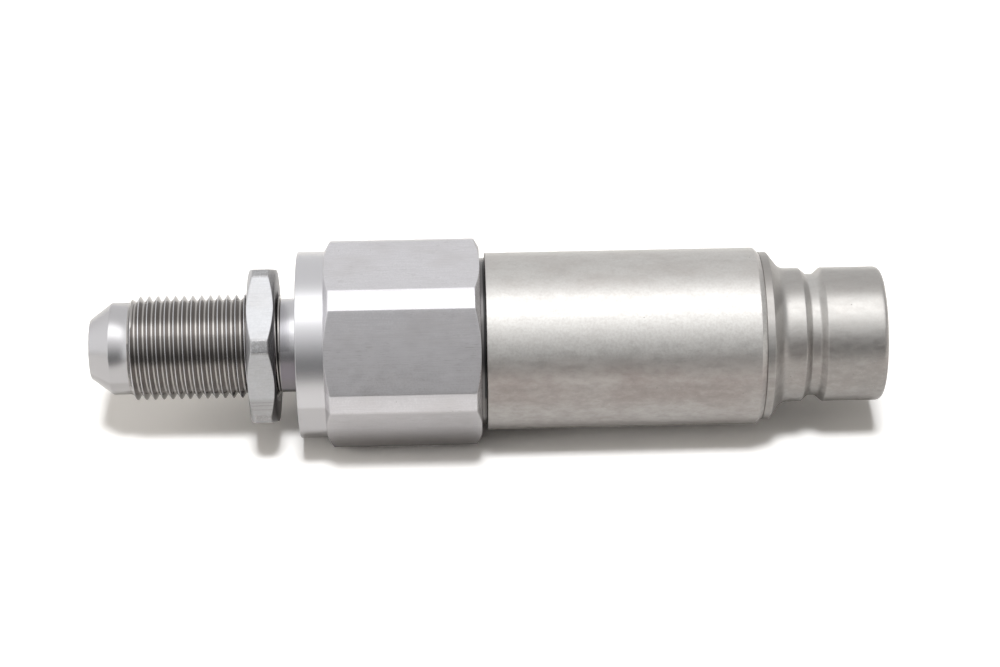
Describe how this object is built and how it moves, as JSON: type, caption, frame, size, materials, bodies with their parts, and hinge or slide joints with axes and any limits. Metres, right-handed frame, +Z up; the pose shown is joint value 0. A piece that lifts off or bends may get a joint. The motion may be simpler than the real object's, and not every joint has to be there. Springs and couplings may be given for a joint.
{
  "type": "flat face quick coupler",
  "caption": "Male flat-face hydraulic quick coupler: grooved nose, long round sleeve, hex adapter with collar, threaded flare end and a thin lock nut.",
  "frame": {"origin": "centre of the flat mating face, on the coupler's axis", "axes": "+X along the axis, out of the nose; +Z up, square to the hex flat that the coupler lies on"},
  "size_m": [0.1441, 0.0378, 0.0344],
  "materials": {
    "nose_steel": "zinc-nickel plated, turned, satin",
    "sleeve_steel": "zinc-nickel plated, turned, satin, lightly stained",
    "adapter_steel": "zinc plated, satin with fine grain along the flats",
    "nut_steel": "zinc plated, satin",
    "poppet_steel": "hardened and ground steel",
    "spring_steel": "drawn spring wire",
    "guide_steel": "machined steel",
    "seal_rubber": "black nitrile rubber",
    "backup_plastic": "white fluoropolymer"
  },
  "bodies": {
    "housing": {"nose": "nose_steel", "sleeve": "sleeve_steel", "rear_adapter": "adapter_steel", "valve_guide": "guide_steel", "nose_o_ring": "seal_rubber", "nose_backup_ring": "backup_plastic", "adapter_o_ring": "seal_rubber", "adapter_backup_ring": "backup_plastic", "poppet_spring": "spring_steel"},
    "poppet": {"poppet_head": "poppet_steel", "poppet_stem": "poppet_steel", "poppet_seal": "seal_rubber", "poppet_backup_ring": "backup_plastic", "relief_spring": "spring_steel"},
    "bleed": {"relief_plunger": "poppet_steel", "relief_seal": "seal_rubber"},
    "nut": {"lock_nut": "nut_steel"}
  },
  "joints": [
    {"name": "poppet_slide", "type": "slide", "parent": "housing", "child": "poppet", "axis": [-1, 0, 0], "range_m": [0, 0.009], "stiffness_N_per_m": 2500, "springref_m": -0.01, "deforming": ["poppet_spring"]},
    {"name": "bleed_slide", "type": "slide", "parent": "poppet", "child": "bleed", "axis": [-1, 0, 0], "range_m": [0, 0.0012], "stiffness_N_per_m": 1500, "springref_m": -0.002, "deforming": ["relief_spring"]},
    {"name": "nut_travel", "type": "slide", "parent": "housing", "child": "nut", "axis": [1, 0, 0], "range_m": [-0.02, 0.0037]}
  ]
}
